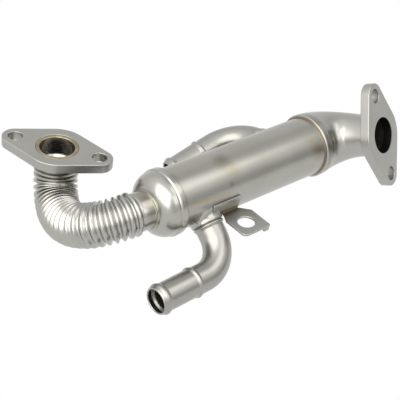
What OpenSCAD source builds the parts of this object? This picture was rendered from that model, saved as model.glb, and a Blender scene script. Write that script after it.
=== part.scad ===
// Exhaust gas recirculation cooler: a shell-and-tube heat exchanger with a flexible
// gas inlet, a reducing outlet elbow, two coolant pipes and one fixing bracket.
// The origin is the centre of the inlet flange's gasket face, with that face looking up.
// The shell axis runs along +X, from the inlet dome to the outlet elbow.

/* [Placement] */
// Distance along X from the inlet flange centre to the rim of the inlet dome
rim_x = 35.4; // [30:0.2:45]
// Distance of the shell axis in front of the inlet flange centre
axis_front = 67.6; // [60:0.2:76]
// Distance of the shell axis below the gasket face
axis_drop = 12.4; // [8:0.2:18]

/* [Shell] */
// Outside diameter of the shell
shell_d = 40; // [38:0.5:44]
// Wall of the shell
shell_wall = 1.2; // [0.8:0.1:1.5]
// Bare length of the shell, from the rim of the dome to the rim of the elbow
shell_len = 121; // [112:1:160]
// Length of shell that each end piece covers
shell_engage = 4.4; // [3:0.2:5.4]
// Wall of the short collar pulled out of the shell around each coolant pipe
collar_wall = 1.4; // [1:0.1:2]
// Height of each pulled collar's free edge above the shell
collar_rise = 2.8; // [2.4:0.1:4.2]

/* [Inlet dome] */
// Wall of the rim band where the dome sleeves over the shell
rim_wall = 1.85; // [1.5:0.05:2.5]
// Length of the rim band beyond the end of the shell
band_extra = 0.6; // [0.4:0.1:2]
// Height of the step from the rim band down to the bowl
band_step = 0.7; // [0.3:0.1:0.9]
// Corner radius of the bowl
bowl_corner = 11.4; // [9:0.2:12]
// Wall of the bowl
bowl_wall = 1.6; // [1.2:0.1:1.8]
// Length of the lip that holds the bellows
dome_lip = 1.4; // [0.8:0.1:3]
// Wall of that lip
dome_lip_wall = 1.1; // [0.8:0.1:1.6]
// Rounding of the rim band's edges
band_round = 0.8; // [0.4:0.1:1]

/* [Bellows] */
// Outside diameter of the plain ends and of the convolutions' roots
cuff_d = 24.4; // [22:0.2:25]
// Outside diameter of the crests
crest_d = 28.2; // [27:0.2:30]
// Wall of the bellows
bellows_wall = 0.6; // [0.4:0.1:0.8]
// Number of convolutions
convolutions = 25; // [14:1:28]
// Pull of the curve where it leaves the dome
neck_pull = 62; // [52:1:72]
// Pull of the curve where it reaches the inlet flange
flange_pull = 55; // [44:1:62]
// Plain length outside the dome
neck_plain = 7.5; // [6:0.5:16]
// Plain length below the inlet collar
top_plain = 1.5; // [1:0.5:6]
// Length of plain end inside the dome
neck_engage = 3.5; // [2:0.5:5]

/* [Flanges] */
// Distance between the two bolt holes of each flange
bolt_spacing = 56; // [52:0.5:64]
// Diameter of each bolt hole
bolt_hole_d = 9.4; // [8.4:0.2:11]
// Radius of each flange's ends
flange_end_r = 8.5; // [8:0.5:11]
// Radius of each flange's middle
flange_waist_r = 20.4; // [18:0.2:24]
// Thickness of the inlet flange
inlet_t = 6.5; // [5:0.5:9]
// Thickness of the outlet flange
outlet_t = 6.5; // [6:0.5:10]
// Direction of the inlet flange's bolt line, from +X
inlet_turn = -55; // [-90:1:0]
// Turn of the outlet flange's bolt line, from the plane of the elbow
outlet_turn = 97; // [60:1:120]

/* [Inlet collar] */
// Wall of the collar around the end of the bellows
inlet_collar_wall = 1.25; // [1:0.05:1.8]
// Height of the collar's lip above the inside of the bellows
inlet_lip_h = 0.6; // [0.3:0.1:1.5]
// Length of the collar's lip
inlet_lip = 5; // [3:0.5:6]
// Length of the collar
inlet_collar_len = 8; // [7.5:0.5:12]

/* [Outlet elbow] */
// Outside diameter of the elbow at the outlet flange
elbow_d = 28.4; // [27:0.2:30]
// Wall of the elbow
elbow_wall = 1.6; // [1.2:0.1:1.7]
// Straight length before the bend
elbow_lead = 5.6; // [4:0.2:10]
// Radius of the bend on its centre line
elbow_bend_r = 25.4; // [24.6:0.2:32]
// Angle of the bend
elbow_bend = 76; // [50:1:90]
// Straight length from the bend to the outlet flange's face
elbow_tail = 21.6; // [18:0.2:30]
// Length of plain tube between the narrowing and the outlet flange
elbow_plain = 5.4; // [2:0.2:10]
// Direction in which the elbow leans, about the shell axis, from +Y
elbow_lean = 153; // [120:1:180]
// Height of the outlet flange's lip above the inside of the elbow
outlet_lip_h = 0.6; // [0.3:0.1:1.5]
// Depth of the socket that takes the elbow in the outlet flange
outlet_socket = 3.5; // [2:0.5:4.5]

/* [Coolant pipes] */
// Outside diameter of both pipes
pipe_d = 18.2; // [15:0.2:18.6]
// Wall of both pipes
pipe_wall = 1.2; // [0.8:0.1:2]
// Height of the beads above the pipe
bead_h = 1; // [0.6:0.1:1.2]
// Distance from a pipe's mouth to its hose bead
mouth_to_bead = 4.5; // [3:0.5:8]
// Front pipe: place along the shell, from the rim of the dome
front_x = 20.4; // [17:0.2:26]
// Front pipe: direction about the shell axis, from +Y
front_angle = 217.3; // [212:0.1:260]
// Front pipe: straight length from its seat bead to the bend
front_lead = 5.1; // [2:0.1:12]
// Front pipe: radius of the bend
front_bend_r = 21.2; // [14:0.2:26]
// Front pipe: angle of the bend
front_bend = 88; // [70:1:100]
// Front pipe: straight length after the bend
front_spigot = 38; // [32:0.2:60]
// Front pipe: distance from the bend to the hose stop bead
front_stop = 9; // [4:0.5:18]
// Rear pipe: place along the shell, from the rim of the elbow
rear_x = 18.6; // [13:0.2:24]
// Rear pipe: direction about the shell axis, from +Y
rear_angle = -11.4; // [-40:0.1:40]
// Rear pipe: straight length from its seat bead to the bend
rear_lead = 0.5; // [0.3:0.1:8]
// Rear pipe: radius of the bend
rear_bend_r = 25.4; // [18.8:0.2:28]
// Rear pipe: angle of the bend
rear_bend = 82.5; // [75:0.5:95]
// Rear pipe: downward swing of the bend, about the line on which the pipe leaves the shell
rear_swing = 18.4; // [0:0.2:30]
// Rear pipe: straight length after the bend
rear_spigot = 34.8; // [30:0.2:52]
// Rear pipe: distance from the bend to the hose stop bead
rear_stop = 9; // [4:0.5:14]

/* [Tube bundle] */
// Rings of gas tubes around the middle one
tube_rings = 2; // [1:1:2]
// Outside diameter of a gas tube
gas_tube_d = 5.5; // [4:0.1:6]
// Wall of a gas tube
gas_tube_wall = 0.4; // [0.3:0.1:0.8]
// Width of tube sheet left outside the outermost gas tubes
sheet_edge = 1.2; // [0.6:0.1:2]
// Thickness of each tube sheet
sheet_t = 2; // [1.5:0.5:3]
// Distance from a tube sheet's outer face to the end of the shell
sheet_inset = 1.5; // [0.5:0.5:3]
// Thickness of each baffle
baffle_t = 1; // [0.8:0.1:2]
// Distance from the middle of the shell to each baffle
baffle_offset = 18; // [10:1:26]
// Distance from the shell axis to the cut edge of each baffle, in tube spacings
baffle_cut = 1.25; // [1:0.05:1.6]

/* [Bracket] */
// Thickness of the bracket's sheet
bracket_t = 1.6; // [1.2:0.1:2.5]
// Place of the welded leg along the shell, from the rim of the dome
leg_x = 20.5; // [18:0.5:24]
// Length of the welded leg along the shell
leg_len = 23; // [20:0.5:26]
// Angle of shell that the welded leg covers
leg_wrap = 30; // [20:1:40]
// Width of the neck that joins the tab to the leg
neck_w = 13.6; // [10:0.2:16]
// Distance from the leg's far end to the neck
neck_inset = 0.4; // [0.2:0.1:2]
// Length over which the neck widens to the tab
neck_flare = 6.5; // [4:0.5:8]
// Place of the tab along the shell, from the rim of the dome
tab_x = 27.5; // [25:0.5:29]
// Width of the tab along the shell
tab_w = 22; // [19:0.5:30]
// Distance from the shell to the tab's front edge
tab_out = 24.5; // [22:0.5:36]
// Distance of the tab's upper face below the shell axis
tab_drop = 8.5; // [4:0.5:12]
// Corner radius of the tab
tab_round = 3.5; // [2:0.5:5]
// Width of the tab's slot
slot_w = 10.6; // [6.4:0.2:11]
// Extra length of the slot along the shell
slot_extra = 0.8; // [0.4:0.2:5]
// Distance from the tab's side to the middle of the slot
slot_side = 10.3; // [9:0.1:12]
// Distance from the tab's front edge to the middle of the slot
slot_inset = 10.3; // [8:0.1:12]
// Width of the stop that is bent down at the tab's front edge, and its height over all
stop_size = 4; // [3:0.5:5]
// Radius of the tab's corner beside the stop
stop_round = 1.2; // [0.8:0.2:2]

/* [Fits] */
// Gap that braze fills between pieces
braze_gap = 0.05; // [0.02:0.01:0.1]
// Clear space between the bracket and the front pipe's collar
bracket_gap = 0.5; // [0.3:0.1:1]

/* [Hidden] */
$fn = 64;
steel = "#a6a59d";
plate_steel = "#9c9b94";
tube_steel = "#b4b2a9";
cut = 1;
bend_lap = 0.5;
bend_thinning = 0.02;
bead_round = 1.5;
arc_step = 6;
elbow_sides = 40;
elbow_rings = 20;
bellows_sides = 24;
curve_steps = 120;

shell_r = shell_d / 2;
shell_inner_r = shell_r - shell_wall;
seat_r = shell_r + braze_gap;
rim_r = seat_r + rim_wall;
pipe_r = pipe_d / 2;
pipe_bore_r = pipe_r - pipe_wall;
pipe_hole_r = pipe_r + braze_gap;
collar_r = pipe_hole_r + collar_wall;
collar_reach = shell_r + collar_rise;
cuff_r = cuff_d / 2;
crest_r = crest_d / 2;
cuff_hole_r = cuff_r + braze_gap;
elbow_r = elbow_d / 2;
bore_sheet_r = shell_inner_r - braze_gap;
inlet_collar_r = cuff_hole_r + inlet_collar_wall;
inlet_bore_r = cuff_r - bellows_wall - inlet_lip_h;
outlet_bore_r = elbow_r - elbow_wall - outlet_lip_h;

// The coolant pipes' beads: an arc of bead_round times the bead's height, and its half length
bead_swell = acos((bead_round - 1) / bead_round);
bead_r = bead_round * bead_h;
bead_half = bead_r * sin(bead_swell);
seat_bead = collar_reach + braze_gap + bead_half;
front_rise = seat_bead + bead_half + front_lead;
rear_rise = seat_bead + bead_half + rear_lead;

// The dome's bowl, from its corner arc to the lip that takes the bellows
band_len = shell_engage + band_extra;
bowl_r = rim_r - band_step;
bowl_mid_r = bowl_r - bowl_corner;
bowl_inner_corner = bowl_corner - bowl_wall;
lip_r = cuff_hole_r + dome_lip_wall;
lip_turn = acos((lip_r - bowl_mid_r) / bowl_corner);
cuff_turn = acos((cuff_hole_r - bowl_mid_r) / bowl_inner_corner);
dome_depth = band_len + bowl_corner * sin(lip_turn) + dome_lip;

// The bellows' curve, from the dome's lip to the lower end of the inlet collar
neck_point = [rim_x - dome_depth, -axis_front, -axis_drop];
top_point = [0, 0, -inlet_collar_len];
curve_points = [
    neck_point,
    neck_point - [neck_pull, 0, 0],
    top_point - [0, 0, flange_pull],
    top_point
];
twist_reference = [1, 1, -1];

// The outlet elbow's centre line, measured from the elbow's rim
elbow_arc = elbow_bend_r * elbow_bend * PI / 180;
elbow_len = elbow_lead + elbow_arc + elbow_tail;
elbow_end = elbow_len - outlet_t + outlet_socket - braze_gap;
elbow_taper = elbow_len - outlet_t - elbow_plain;

// The tube bundle
shell_from = -shell_engage;
shell_to = shell_len + shell_engage;
bundle_from = shell_from + sheet_inset;
bundle_to = shell_to - sheet_inset;
gas_tube_pitch = (bore_sheet_r - sheet_edge - gas_tube_d / 2) / tube_rings;
tube_places = [
    for (row = [-tube_rings : tube_rings])
    for (column = [-tube_rings : tube_rings])
    if (abs(row + column) <= tube_rings)
    gas_tube_pitch * [column + row / 2, row * sqrt(3) / 2]
];
tube_names = [
    for (i = [0 : len(tube_places) - 1])
    str("gas_tube_", i < 9 ? "0" : "", i + 1)
];

// Points of an arc about [x, y], from angle a to angle b
function arc(x, y, r, a, b) =
    let (steps = max(1, ceil(abs(b - a) / arc_step)))
    [for (i = [0 : steps]) [x, y] + r * [cos(a + (b - a) * i / steps), sin(a + (b - a) * i / steps)]];

function unit(v) = v / norm(v);
function smooth(t) = let (u = min(1, max(0, t))) u * u * (3 - 2 * u);

// A two-hole flange outline: a round waist joined by straight tangents to two round ends
function flange_outline() =
    let (half = bolt_spacing / 2, lean = asin((flange_waist_r - flange_end_r) / half))
    concat(
        arc(half, 0, flange_end_r, lean - 90, 90 - lean),
        arc(0, 0, flange_waist_r, 90 - lean, 90 + lean),
        arc(-half, 0, flange_end_r, 90 + lean, 270 - lean),
        arc(0, 0, flange_waist_r, 270 - lean, 270 + lean)
    );

// A point on the bellows' curve, its direction, and the table from length to curve parameter
function curve_at(t) =
    pow(1 - t, 3) * curve_points[0] + 3 * pow(1 - t, 2) * t * curve_points[1]
    + 3 * (1 - t) * t * t * curve_points[2] + pow(t, 3) * curve_points[3];
function curve_slope(t) =
    unit(pow(1 - t, 2) * (curve_points[1] - curve_points[0])
    + 2 * (1 - t) * t * (curve_points[2] - curve_points[1])
    + t * t * (curve_points[3] - curve_points[2]));
curve_table = [
    for (i = 0, run = 0; i <= curve_steps;
         i = i + 1, run = run + norm(curve_at(i / curve_steps) - curve_at((i - 1) / curve_steps)))
    [run, i / curve_steps]
];
curve_len = curve_table[curve_steps][0];
function bellows_centre(s) =
    s < 0 ? curve_points[0] + s * curve_slope(0)
    : s > curve_len ? curve_points[3] + (s - curve_len) * curve_slope(1)
    : curve_at(lookup(s, curve_table));
function bellows_slope(s) = curve_slope(lookup(min(curve_len, max(0, s)), curve_table));
function bellows_ring(s, r) =
    let (
        centre = bellows_centre(s),
        slope = bellows_slope(s),
        side = unit(cross(slope, twist_reference)),
        rise = cross(slope, side)
    )
    [
        for (j = [0 : bellows_sides - 1])
        let (a = 360 * j / bellows_sides)
        centre + r * (cos(a) * side + sin(a) * rise)
    ];

// One convolution as [share of the pitch, share of the height]: a narrow root and a round crest
wave = [[0, 0], [0.24, 0.86], [0.5, 1], [0.76, 0.86]];
wave_from = neck_plain;
wave_to = curve_len - top_plain;
wave_pitch = (wave_to - wave_from) / convolutions;
bellows_from = -neck_engage;
bellows_to = curve_len + inlet_collar_len - inlet_lip - braze_gap;
bellows_outside = concat(
    [[bellows_from, cuff_r], [0, cuff_r]],
    [
        for (i = [0 : convolutions - 1])
        for (w = wave)
        [wave_from + (i + w[0]) * wave_pitch, cuff_r + w[1] * (crest_r - cuff_r)]
    ],
    [[wave_to, cuff_r], [bellows_to, cuff_r]]
);

// The elbow's centre line in its own plane, and its outside radius
function elbow_turn(s) = min(elbow_bend, max(0, (s - elbow_lead) / elbow_arc * elbow_bend));
function elbow_centre(s) =
    let (
        a = elbow_turn(s),
        tail = max(0, s - elbow_lead - elbow_arc)
    )
    [
        elbow_bend_r * (1 - cos(a)) + tail * sin(a),
        min(s, elbow_lead) + elbow_bend_r * sin(a) + tail * cos(a)
    ];
function elbow_radius(s) = rim_r - (rim_r - elbow_r) * smooth(s / elbow_taper);
function elbow_ring(s, r) =
    let (c = elbow_centre(s), a = elbow_turn(s))
    [
        for (j = [0 : elbow_sides - 1])
        let (t = 360 * j / elbow_sides)
        [c[0] + r * cos(t) * cos(a), r * sin(t), c[1] - r * cos(t) * sin(a)]
    ];

// Triangles that join rings of points, each ring to the next and the last to the first
function ring_faces(rings, sides) = [
    for (i = [0 : rings - 1])
    for (j = [0 : sides - 1])
    let (
        k = (i + 1) % rings,
        l = (j + 1) % sides
    )
    each [
        [i * sides + j, i * sides + l, k * sides + l],
        [i * sides + j, k * sides + l, k * sides + j]
    ]
];

function backwards(list) = [for (i = [len(list) - 1 : -1 : 0]) list[i]];

// The shell's frame: the origin at the rim of the dome, z along the shell
module on_shell() {
    translate([rim_x, -axis_front, -axis_drop])
        rotate([0, 90, 0])
            children();
}

// Turns the shell's frame so that x points outward at an angle about the shell, from +Y
module outward(angle) {
    rotate([0, 0, angle + 90])
        children();
}

// Moves to the end of a bend that starts along z and turns towards x
module after_bend(r, angle) {
    translate([r, 0, 0])
        rotate([0, angle, 0])
            translate([-r, 0, 0])
                children();
}

// A hollow pipe bend from z towards x. The bend thins the wall a little,
// and each end runs a short way into the straight wall that it meets.
module bend(r, angle) {
    lap_angle = bend_lap / r * 180 / PI;
    translate([r, 0, 0])
        rotate([90, 0, 180])
            rotate([0, 0, -lap_angle])
                rotate_extrude(angle = angle + 2 * lap_angle)
                    translate([r, 0])
                        difference() {
                            circle(r = pipe_r - bend_thinning);
                            circle(r = pipe_bore_r + bend_thinning);
                        }
}

module at_outlet() {
    on_shell()
        translate([0, 0, shell_len])
            outward(elbow_lean)
                translate([0, 0, elbow_lead])
                    after_bend(elbow_bend_r, elbow_bend)
                        translate([0, 0, elbow_tail])
                            rotate([0, 0, outlet_turn])
                                children();
}

// A flange plate below z = 0, with its two bolt holes
module flange_plate(thickness) {
    difference() {
        translate([0, 0, -thickness])
            linear_extrude(thickness)
                polygon(flange_outline());
        for (side = [-1, 1])
            translate([side * bolt_spacing / 2, 0, -thickness - cut])
                cylinder(d = bolt_hole_d, h = thickness + 2 * cut);
    }
}

module inlet_flange() {
    color(plate_steel)
        rotate([0, 0, inlet_turn])
            difference() {
                flange_plate(inlet_t);
                translate([0, 0, -inlet_t - cut])
                    cylinder(r = inlet_collar_r + braze_gap, h = inlet_t + 2 * cut);
            }
}

module inlet_collar() {
    socket = inlet_collar_len - inlet_lip;
    color(steel)
        difference() {
            translate([0, 0, -inlet_collar_len])
                cylinder(r = inlet_collar_r, h = inlet_collar_len);
            translate([0, 0, -inlet_collar_len - cut])
                cylinder(r = inlet_bore_r, h = inlet_collar_len + 2 * cut);
            translate([0, 0, -inlet_collar_len - cut])
                cylinder(r = cuff_hole_r, h = socket + cut);
        }
}

module bellows() {
    inside = [for (p = backwards(bellows_outside)) [p[0], p[1] - bellows_wall]];
    outline = concat(bellows_outside, inside);
    color(tube_steel)
        polyhedron(
            points = [for (p = outline) each bellows_ring(p[0], p[1])],
            faces = ring_faces(len(outline), bellows_sides)
        );
}

module inlet_dome() {
    outline = concat(
        [[seat_r, 0]],
        arc(rim_r - band_round, -band_round, band_round, 90, 0),
        [[rim_r, band_step - band_len], [bowl_r, -band_len]],
        arc(bowl_mid_r, -band_len, bowl_corner, 0, -lip_turn),
        [[lip_r, -dome_depth], [cuff_hole_r, -dome_depth]],
        arc(bowl_mid_r, -band_len, bowl_inner_corner, -cuff_turn, 0),
        [[bowl_r - bowl_wall, -shell_engage - braze_gap], [seat_r, -shell_engage - braze_gap]]
    );
    color(steel)
        on_shell()
            rotate_extrude()
                polygon(outline);
}

// The place of a coolant pipe: z outward from the shell axis, x back towards the dome
module at_pipe(place, angle) {
    on_shell()
        outward(angle)
            translate([0, 0, place])
                rotate([0, 90, 0])
                    children();
}

module shell() {
    color(steel)
        difference() {
            union() {
                on_shell()
                    translate([0, 0, shell_from])
                        cylinder(r = shell_r, h = shell_to - shell_from);
                at_pipe(front_x, front_angle)
                    cylinder(r = collar_r, h = collar_reach);
                at_pipe(shell_len - rear_x, rear_angle)
                    cylinder(r = collar_r, h = collar_reach);
            }
            on_shell()
                translate([0, 0, shell_from - cut])
                    cylinder(r = shell_inner_r, h = shell_to - shell_from + 2 * cut);
            at_pipe(front_x, front_angle)
                cylinder(r = pipe_hole_r, h = collar_reach + cut);
            at_pipe(shell_len - rear_x, rear_angle)
                cylinder(r = pipe_hole_r, h = collar_reach + cut);
        }
}

// The half section of a straight pipe along y, with beads rolled out at the given places
function pipe_section(length, beads) =
    concat(
        [[pipe_bore_r, 0], [pipe_r, 0]],
        [for (place = beads) each arc(pipe_r + bead_h - bead_r, place, bead_r, -bead_swell, bead_swell)],
        [[pipe_r, length], [pipe_bore_r, length]]
    );

// A coolant pipe that leaves the shell, bends back and ends in a beaded hose spigot.
// Its inner end is cut to the round of the shell's inside. A swing turns the bend
// about the pipe's first straight.
module coolant_pipe(rise, bend_r, angle, spigot, stop, swing = 0) {
    difference() {
        rotate_extrude()
            polygon(pipe_section(rise, [seat_bead]));
        rotate([0, 90, 0])
            cylinder(r = shell_inner_r, h = 2 * pipe_d, center = true);
    }
    rotate([0, 0, -swing])
        translate([0, 0, rise]) {
            bend(bend_r, angle);
            after_bend(bend_r, angle)
                rotate_extrude()
                    polygon(pipe_section(spigot, [stop, spigot - mouth_to_bead]));
        }
}

module front_coolant_pipe() {
    color(tube_steel)
        at_pipe(front_x, front_angle)
            coolant_pipe(front_rise, front_bend_r, front_bend, front_spigot, front_stop);
}

module rear_coolant_pipe() {
    color(tube_steel)
        at_pipe(shell_len - rear_x, rear_angle)
            coolant_pipe(rear_rise, rear_bend_r, rear_bend, rear_spigot, rear_stop, rear_swing);
}

module outlet_elbow() {
    seat_end = shell_engage + braze_gap;
    outside = [
        for (i = [0 : elbow_rings])
        let (s = elbow_end * i / elbow_rings)
        [s, elbow_radius(s)]
    ];
    inside = [
        for (i = [elbow_rings : -1 : 0])
        let (s = seat_end + (elbow_end - seat_end) * i / elbow_rings)
        [s, elbow_radius(s) - elbow_wall]
    ];
    flat_seat_r = seat_r / cos(180 / elbow_sides);
    outline = concat(outside, inside, [[seat_end, flat_seat_r], [0, flat_seat_r]]);
    color(steel)
        on_shell()
            translate([0, 0, shell_len])
                outward(elbow_lean)
                    polyhedron(
                        points = [for (p = outline) each elbow_ring(p[0], p[1])],
                        faces = ring_faces(len(outline), elbow_sides)
                    );
}

module outlet_flange() {
    color(plate_steel)
        at_outlet()
            difference() {
                flange_plate(outlet_t);
                translate([0, 0, -outlet_t - cut])
                    cylinder(r = outlet_bore_r, h = outlet_t + 2 * cut);
                translate([0, 0, -outlet_t - cut])
                    cylinder(r = elbow_r + braze_gap, h = outlet_socket + cut);
            }
}

// A round plate across the shell, drilled for the gas tubes
module drilled_plate(place, thickness) {
    translate([0, 0, place])
        difference() {
            cylinder(r = bore_sheet_r, h = thickness);
            for (p = tube_places)
                translate([p[0], p[1], -cut])
                    cylinder(d = gas_tube_d + 2 * braze_gap, h = thickness + 2 * cut);
        }
}

module inlet_tube_sheet() {
    color(plate_steel)
        on_shell()
            drilled_plate(bundle_from, sheet_t);
}

module outlet_tube_sheet() {
    color(plate_steel)
        on_shell()
            drilled_plate(bundle_to - sheet_t, sheet_t);
}

// A baffle leaves a gap for the coolant on one side of the shell
module baffle(place, angle) {
    color(plate_steel)
        on_shell()
            difference() {
                drilled_plate(place - baffle_t / 2, baffle_t);
                outward(angle)
                    translate([baffle_cut * gas_tube_pitch, -shell_r, place - baffle_t])
                        cube([shell_r, shell_d, 2 * baffle_t]);
            }
}

module front_baffle() {
    baffle(shell_len / 2 - baffle_offset, 90);
}

module rear_baffle() {
    baffle(shell_len / 2 + baffle_offset, 270);
}

module gas_tube(place) {
    color(tube_steel)
        on_shell()
            translate([place[0], place[1], bundle_from])
                difference() {
                    cylinder(d = gas_tube_d, h = bundle_to - bundle_from);
                    translate([0, 0, -cut])
                        cylinder(d = gas_tube_d - 2 * gas_tube_wall, h = bundle_to - bundle_from + 2 * cut);
                }
}

// The tab's outline, seen from above, with the shell axis at y = 0: a neck that widens to
// a tab with two round corners
function tab_outline(reach, neck_from) =
    let (
        right = tab_x + tab_w,
        neck_right = leg_x + leg_len - neck_inset,
        low = tab_round - reach
    )
    concat(
        [
            [neck_right, 0], [neck_right - neck_w, 0],
            [neck_right - neck_w, -neck_from], [tab_x, -neck_from - neck_flare]
        ],
        arc(tab_x + tab_round, low, tab_round, 180, 270),
        arc(right - stop_round, stop_round - reach, stop_round, 270, 360),
        [[right, -neck_from - neck_flare], [neck_right, -neck_from]]
    );

// A bent sheet: a leg welded round the shell, and a level tab with a slot and a small stop
module bracket() {
    leg_r = seat_r + bracket_t;
    leg_from = 180 + asin((tab_drop + bracket_t / 2) / leg_r);
    neck_from = sqrt(leg_r * leg_r - tab_drop * tab_drop);
    tab_reach = shell_r + tab_out;
    color(plate_steel)
        difference() {
            union() {
                on_shell()
                    translate([0, 0, leg_x])
                        outward(leg_from - leg_wrap)
                            rotate_extrude(angle = leg_wrap)
                                square([leg_r, leg_len]);
                translate([rim_x, -axis_front, -axis_drop - tab_drop - bracket_t]) {
                    linear_extrude(bracket_t)
                        polygon(tab_outline(tab_reach, neck_from));
                    translate([tab_x + tab_w - stop_round - stop_size, -tab_reach, bracket_t - stop_size])
                        cube([stop_size, bracket_t, stop_size - bracket_t / 2]);
                }
            }
            on_shell()
                translate([0, 0, -cut])
                    cylinder(r = seat_r, h = shell_len + 2 * cut);
            at_pipe(front_x, front_angle)
                cylinder(r = collar_r + bracket_gap, h = front_rise);
            translate([
                rim_x + tab_x + slot_side,
                slot_inset - tab_reach - axis_front,
                -axis_drop - tab_drop - bracket_t - cut
            ])
                linear_extrude(bracket_t + 2 * cut)
                    polygon(concat(
                        arc(slot_extra / 2, 0, slot_w / 2, -90, 90),
                        arc(-slot_extra / 2, 0, slot_w / 2, 90, 270)
                    ));
        }
}

inlet_flange();
inlet_collar();
bellows();
inlet_dome();
shell();
inlet_tube_sheet();
outlet_tube_sheet();
front_baffle();
rear_baffle();
outlet_elbow();
outlet_flange();
front_coolant_pipe();
rear_coolant_pipe();
bracket();
for (i = [0 : len(tube_places) - 1])
    gas_tube(tube_places[i]);
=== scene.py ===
import math

import bmesh
import bpy
import numpy as np
from mathutils import Matrix, Vector, geometry


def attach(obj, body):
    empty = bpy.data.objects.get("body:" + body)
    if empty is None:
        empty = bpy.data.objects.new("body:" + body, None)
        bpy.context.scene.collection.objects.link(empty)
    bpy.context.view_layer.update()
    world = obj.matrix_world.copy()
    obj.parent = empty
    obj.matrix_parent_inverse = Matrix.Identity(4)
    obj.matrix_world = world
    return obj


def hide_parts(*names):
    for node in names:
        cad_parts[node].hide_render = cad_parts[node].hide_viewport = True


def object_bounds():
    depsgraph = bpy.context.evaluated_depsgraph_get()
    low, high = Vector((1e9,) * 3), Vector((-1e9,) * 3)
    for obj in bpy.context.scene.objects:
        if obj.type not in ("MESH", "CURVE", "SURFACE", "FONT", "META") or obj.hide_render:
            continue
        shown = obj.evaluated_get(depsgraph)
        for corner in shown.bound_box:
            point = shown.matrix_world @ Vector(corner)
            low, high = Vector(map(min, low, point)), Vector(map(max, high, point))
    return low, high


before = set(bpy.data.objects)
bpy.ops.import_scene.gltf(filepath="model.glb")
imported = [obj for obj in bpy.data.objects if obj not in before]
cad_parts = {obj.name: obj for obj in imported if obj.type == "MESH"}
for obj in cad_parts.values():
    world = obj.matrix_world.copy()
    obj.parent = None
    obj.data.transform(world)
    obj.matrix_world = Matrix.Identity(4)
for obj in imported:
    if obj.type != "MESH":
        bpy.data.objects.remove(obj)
cad_box = [list(corner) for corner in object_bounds()]
rng = np.random.default_rng(7)

MM = 0.001

# Sizes in millimetres and given angles in degrees, the same as the solids have
RIM_X, AXIS_FRONT, AXIS_DROP = 35.4, 67.6, 12.4
SHELL_R, SHELL_WALL, SHELL_LEN, ENGAGE = 20.0, 1.2, 121.0, 4.4
GAP = 0.05
SEAT_R = SHELL_R + GAP
RIM_WALL, BAND_EXTRA, BAND_STEP, BAND_ROUND = 1.85, 0.6, 0.7, 0.8
RIM_R = SEAT_R + RIM_WALL
BAND_LEN = ENGAGE + BAND_EXTRA
BOWL_CORNER, BOWL_WALL = 11.4, 1.6
DOME_LIP, DOME_LIP_WALL = 1.4, 1.1
CUFF_R, CREST_R, BELLOWS_WALL = 12.2, 14.1, 0.6
CONVOLUTIONS, NECK_PULL, FLANGE_PULL = 25, 62.0, 55.0
NECK_PLAIN, TOP_PLAIN, NECK_ENGAGE = 7.5, 1.5, 3.5
BOLT_SPACING, BOLT_HOLE_R, END_R, WAIST_R = 56.0, 4.7, 8.5, 20.4
INLET_T, OUTLET_T, INLET_TURN, OUTLET_TURN = 6.5, 6.5, -55.0, 97.0
COLLAR_LEN, COLLAR_LIP, INLET_COLLAR_WALL = 8.0, 5.0, 1.25
CUFF_HOLE_R = CUFF_R + GAP
COLLAR_R = CUFF_HOLE_R + INLET_COLLAR_WALL
INLET_BORE_R = 11.0
ELBOW_R, ELBOW_WALL, ELBOW_LEAD, ELBOW_BEND_R = 14.2, 1.6, 5.6, 25.4
ELBOW_BEND, ELBOW_TAIL, ELBOW_PLAIN, ELBOW_LEAN = 76.0, 21.6, 5.4, 153.0
OUTLET_BORE_R, OUTLET_SOCKET = 12.0, 3.5
PIPE_R, PIPE_WALL, BEAD_H, HOSE_STOP = 9.1, 1.2, 1.0, 9.0
NECK_RISE, NECK_WALL = 2.8, 1.4
COLLAR_REACH = SHELL_R + NECK_RISE
PIPE_HOLE_R = PIPE_R + GAP
NECK_R = PIPE_HOLE_R + NECK_WALL
BEAD_R = 1.5 * BEAD_H
BEAD_SWELL = math.acos(1 / 3)
BEAD_HALF = BEAD_R * math.sin(BEAD_SWELL)
SEAT_BEAD = COLLAR_REACH + GAP + BEAD_HALF
FRONT_X, FRONT_ANGLE, FRONT_LEAD = 20.4, 217.3, 5.1
FRONT_BEND_R, FRONT_BEND, FRONT_SPIGOT = 21.2, 88.0, 38.0
REAR_X, REAR_ANGLE, REAR_SWING, REAR_LEAD = 18.6, -11.4, 18.4, 0.5
REAR_BEND_R, REAR_BEND, REAR_SPIGOT = 25.4, 82.5, 34.8
LEG_X, LEG_LEN, TAB_DROP = 20.5, 23.0, 8.5

# Sizes that only the picture has
GROOVE_R = 11.85
PLATE_EDGE, BRACKET_EDGE = 0.55, 0.45
MOUTH_BEAD, MOUTH_BEAD_HALF, BEAD_REACH = 3.6, 2.7, 1.9
LIP_DRAW, LIP_DRAW_LEN = 0.35, 1.6
FLOOR_GAP, FLOOR_HALF = 1.0, 8000.0

DOME_MID_R = RIM_R - BAND_STEP - BOWL_CORNER
LIP_R = CUFF_HOLE_R + DOME_LIP_WALL
LIP_TURN = math.acos((LIP_R - DOME_MID_R) / BOWL_CORNER)
DOME_DEPTH = BAND_LEN + BOWL_CORNER * math.sin(LIP_TURN) + DOME_LIP
ELBOW_ARC = ELBOW_BEND_R * math.radians(ELBOW_BEND)
ELBOW_LEN = ELBOW_LEAD + ELBOW_ARC + ELBOW_TAIL
ELBOW_TAPER = ELBOW_LEN - OUTLET_T - ELBOW_PLAIN


def shift(x, y, z):
    m = np.eye(4)
    m[:3, 3] = x, y, z
    return m


def turn(axis, angle):
    return np.array(Matrix.Rotation(math.radians(angle), 4, axis))


ON_SHELL = shift(RIM_X, -AXIS_FRONT, -AXIS_DROP) @ turn("Y", 90)


def outward(angle):
    return turn("Z", angle + 90)


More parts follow.
